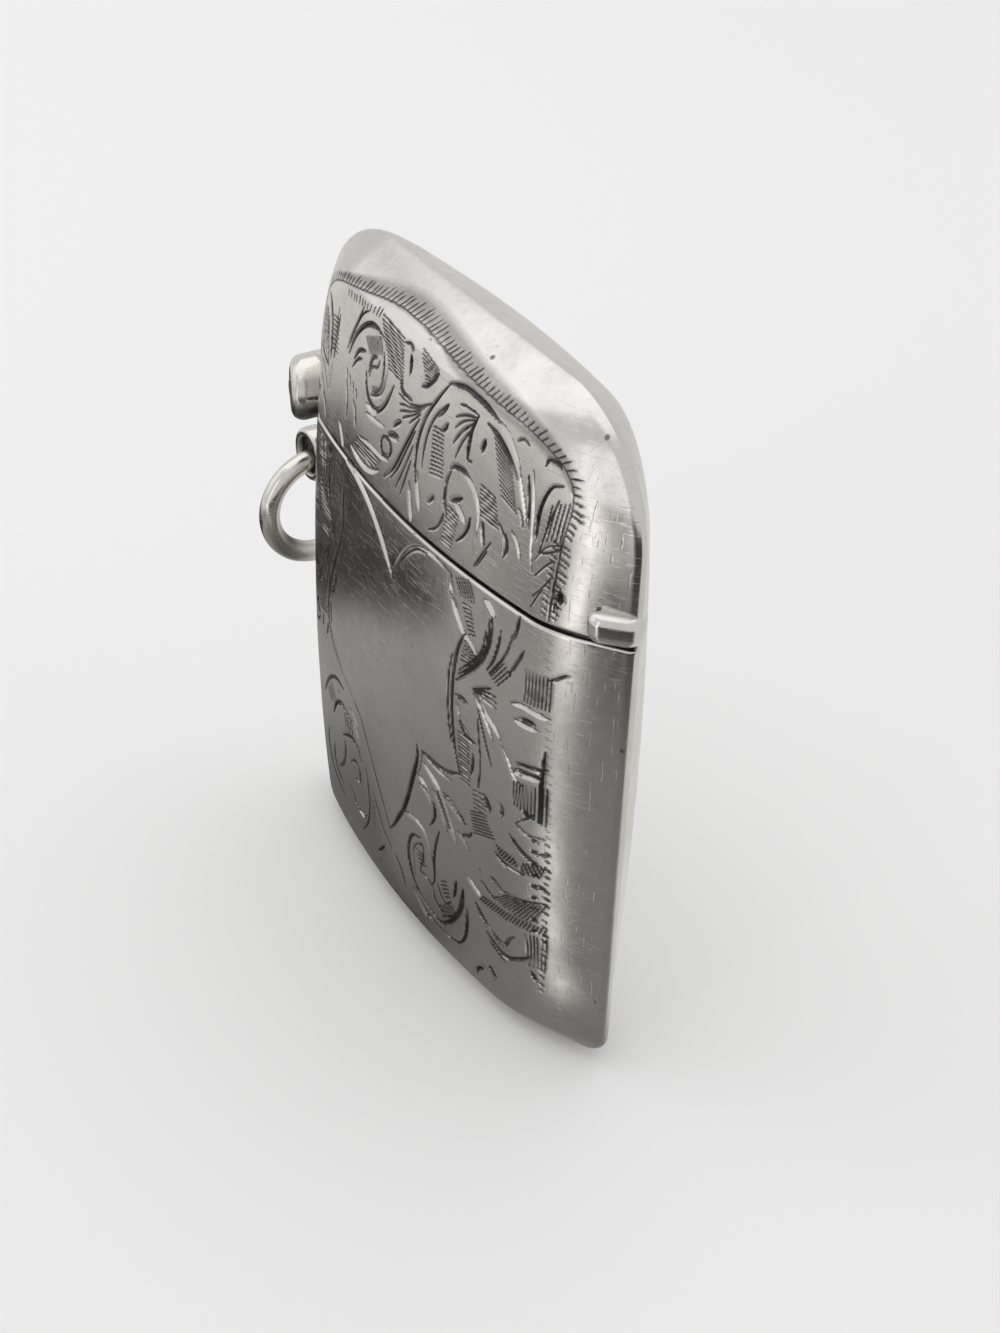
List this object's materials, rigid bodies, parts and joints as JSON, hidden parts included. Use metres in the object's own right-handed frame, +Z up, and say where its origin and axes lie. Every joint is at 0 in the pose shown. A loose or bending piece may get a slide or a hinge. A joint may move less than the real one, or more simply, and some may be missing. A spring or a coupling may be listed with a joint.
{
  "type": "vesta case",
  "caption": "Pocket match case in engraved silver: a cushion-shaped body with a side-hinged sprung lid, a thumb piece, a striker in the base and a hanging ring.",
  "frame": {"origin": "centre of the base, on the plane it stands on", "axes": "+Z up the height of the case, -Y out of the engraved front face, +X towards the thumb piece, -X towards the hinge and the ring"},
  "size_m": [0.0401, 0.0098, 0.045],
  "materials": {
    "engraved_silver": "engraved and polished, softly tarnished in the cuts",
    "plain_silver": "polished with fine scratches",
    "inner_silver": "satin, tarnished",
    "spring_steel": "satin"
  },
  "bodies": {
    "case": {"body_front": "engraved_silver", "body_back": "plain_silver", "striker_plate": "inner_silver", "mouth_bezel": "inner_silver", "hinge_knuckle_front": "plain_silver", "hinge_knuckle_back": "plain_silver", "hinge_pin": "spring_steel", "hinge_plug_front": "plain_silver", "hinge_plug_back": "plain_silver", "lid_spring": "spring_steel", "spring_block": "inner_silver", "spring_rivet": "spring_steel", "ring_lug": "plain_silver"},
    "lid": {"lid_front": "engraved_silver", "lid_back": "plain_silver", "thumb_piece": "plain_silver", "lid_knuckle": "plain_silver"},
    "ring": {"suspension_ring": "plain_silver"}
  },
  "joints": [
    {"name": "lid_hinge", "type": "hinge", "parent": "case", "child": "lid", "pos_m": [-0.01755, 0, 0.03193], "axis": [0, -1, 0], "range_deg": [0, 110], "deforming": ["lid_spring"]},
    {"name": "ring_swing", "type": "hinge", "parent": "case", "child": "ring", "pos_m": [-0.02025, 0, 0.02468], "axis": [0, 1, 0], "range_deg": [-10, 120]}
  ]
}
